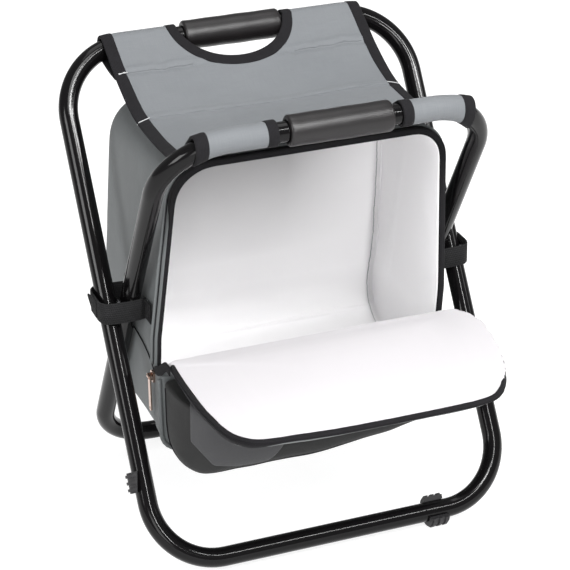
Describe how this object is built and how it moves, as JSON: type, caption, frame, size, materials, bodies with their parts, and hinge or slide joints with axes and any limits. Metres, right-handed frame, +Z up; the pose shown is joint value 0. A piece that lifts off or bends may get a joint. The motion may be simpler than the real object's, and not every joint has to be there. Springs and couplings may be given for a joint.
{
  "type": "folding_cooler_stool",
  "caption": "Backless folding stool of two crossed steel-tube loops with a slung cloth seat, foam hand grips and a zipped insulated bag hung between the legs, front lid open",
  "frame": {"origin": "centre of the bounding box's underside, on the floor", "axes": "X across the stool, +Y to the back, +Z up"},
  "size_m": [0.3679, 0.401, 0.4333],
  "materials": {
    "tube": "gloss black enamel",
    "foam": "dark foam",
    "seat_cloth": "coated grey weave",
    "bag_cloth": "coated mid grey weave",
    "dark_cloth": "coated dark grey weave",
    "tape": "black woven tape",
    "webbing": "black webbing",
    "lining": "white welded film",
    "insulation": "white closed-cell foam",
    "rubber": "black moulded rubber",
    "zinc": "zinc plated",
    "copper": "copper-toned plating"
  },
  "bodies": {
    "outer_frame": {"outer_frame_tube": "tube", "rear_grip": "foam", "rear_sleeve_left": "seat_cloth", "rear_sleeve_right": "seat_cloth", "seat_panel": "seat_cloth", "seat_binding_left": "tape", "seat_binding_right": "tape", "rear_cutout_binding": "tape", "front_cutout_binding": "tape", "outer_foot_left": "rubber", "outer_foot_right": "rubber", "pivot_rivet_left": "zinc", "pivot_rivet_right": "zinc", "pivot_washer_left": "zinc", "pivot_washer_right": "zinc"},
    "inner_frame": {"inner_frame_tube": "tube", "front_grip": "foam", "front_sleeve_left": "seat_cloth", "front_sleeve_right": "seat_cloth", "inner_foot_left": "rubber", "inner_foot_right": "rubber"},
    "cooler_bag": {"bag_outer_shell": "bag_cloth", "bag_insulation": "insulation", "bag_lining": "lining", "body_zipper_tape": "tape", "edge_piping": "bag_cloth", "lower_front_panel": "bag_cloth", "front_pocket": "dark_cloth", "patch_pocket": "dark_cloth", "lower_piping": "bag_cloth", "side_strap_left": "webbing", "side_strap_right": "webbing", "zipper_slider": "copper"},
    "lid": {"lid_shell": "bag_cloth", "lid_padding": "insulation", "lid_lining": "lining", "lid_zipper_tape": "tape"},
    "pull": {"zipper_pull": "copper"}
  },
  "joints": [
    {"name": "frame_fold", "type": "hinge", "parent": "outer_frame", "child": "inner_frame", "pos_m": [0, 0.05872, 0.21657], "axis": [-1, 0, 0], "range_deg": [0, 56], "deforming": ["seat_panel", "seat_binding_left", "seat_binding_right", "rear_cutout_binding", "front_cutout_binding"]},
    {"name": "bag_swing", "type": "hinge", "parent": "outer_frame", "child": "cooler_bag", "pos_m": [0, 0.05872, 0.21657], "axis": [-1, 0, 0], "range_deg": [0, 28]},
    {"name": "lid_hinge", "type": "hinge", "parent": "cooler_bag", "child": "lid", "pos_m": [0, -0.00554, 0.17258], "axis": [-1, 0, 0], "range_deg": [0, 81]},
    {"name": "zipper_pull_swing", "type": "hinge", "parent": "cooler_bag", "child": "pull", "pos_m": [-0.1468, 0.01848, 0.16258], "axis": [0, 1, 0], "range_deg": [-5, 20]}
  ],
  "couplings": [
    {"joint": "bag_swing", "follows": "frame_fold", "ratio": 0.5}
  ]
}
